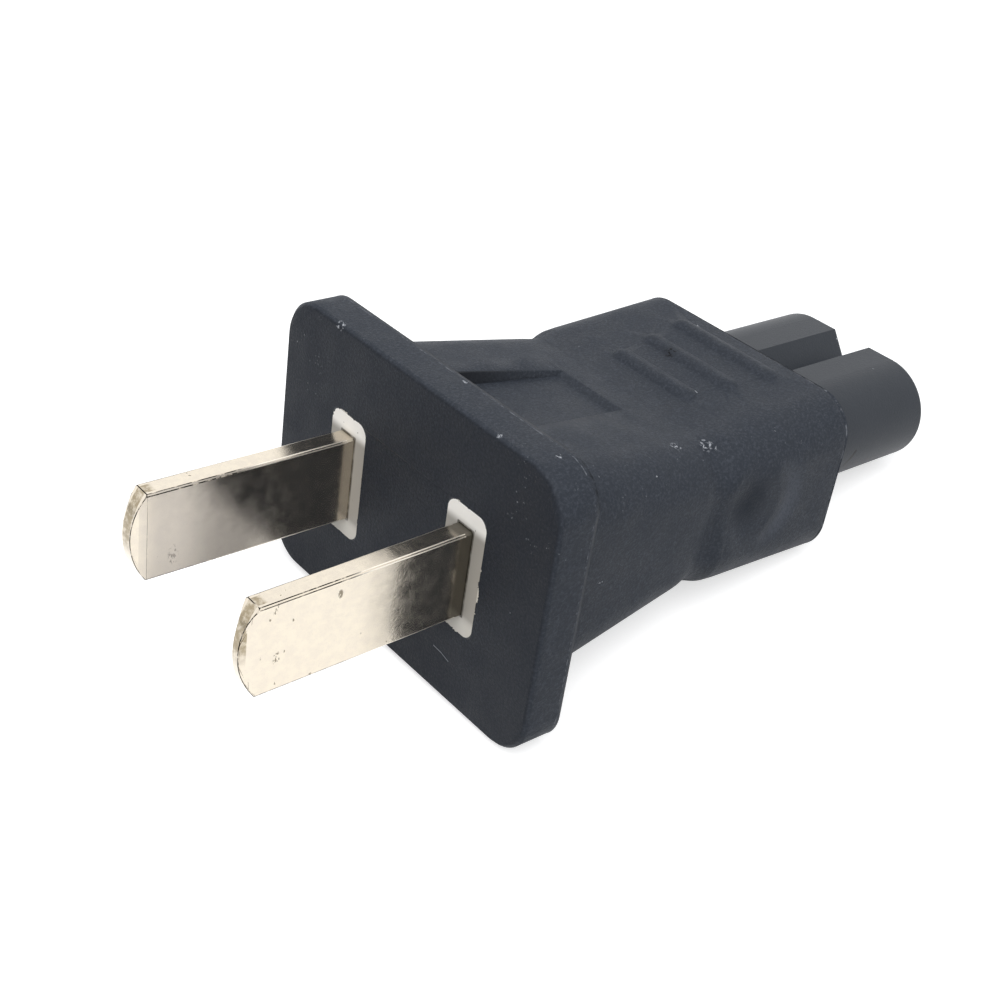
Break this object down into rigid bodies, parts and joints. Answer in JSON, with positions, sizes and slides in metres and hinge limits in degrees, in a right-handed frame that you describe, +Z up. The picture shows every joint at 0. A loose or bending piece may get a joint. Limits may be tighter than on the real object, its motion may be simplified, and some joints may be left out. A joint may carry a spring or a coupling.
{
  "type": "plug adapter",
  "caption": "Moulded black plug adapter: flat mains blades on a flange, a tapered ribbed grip, and a figure-8 socket nose for an appliance lead.",
  "frame": {"origin": "centre of the bounding box's bottom face, on the table the adapter lies on", "axes": "+X from the blade tips to the socket nose along the table, +Y across the blades, +Z up; the plug's own axis dips towards the nose by about 7.5 degrees"},
  "size_m": [0.0614, 0.0286, 0.0209],
  "materials": {
    "overmould": "soft black PVC overmoulding, fine matt texture",
    "nose": "hard black moulding, smooth satin",
    "carrier": "ivory moulding, satin",
    "blade_plate": "bright nickel plate over stamped brass",
    "contact_brass": "bare stamped and rolled brass"
  },
  "bodies": {
    "root": {"outer_body": "overmould", "socket_nose": "nose", "blade_carrier": "carrier", "blade_left": "blade_plate", "blade_right": "blade_plate", "contact_left": "contact_brass", "contact_right": "contact_brass", "rivet_left": "contact_brass", "rivet_right": "contact_brass"}
  },
  "joints": []
}
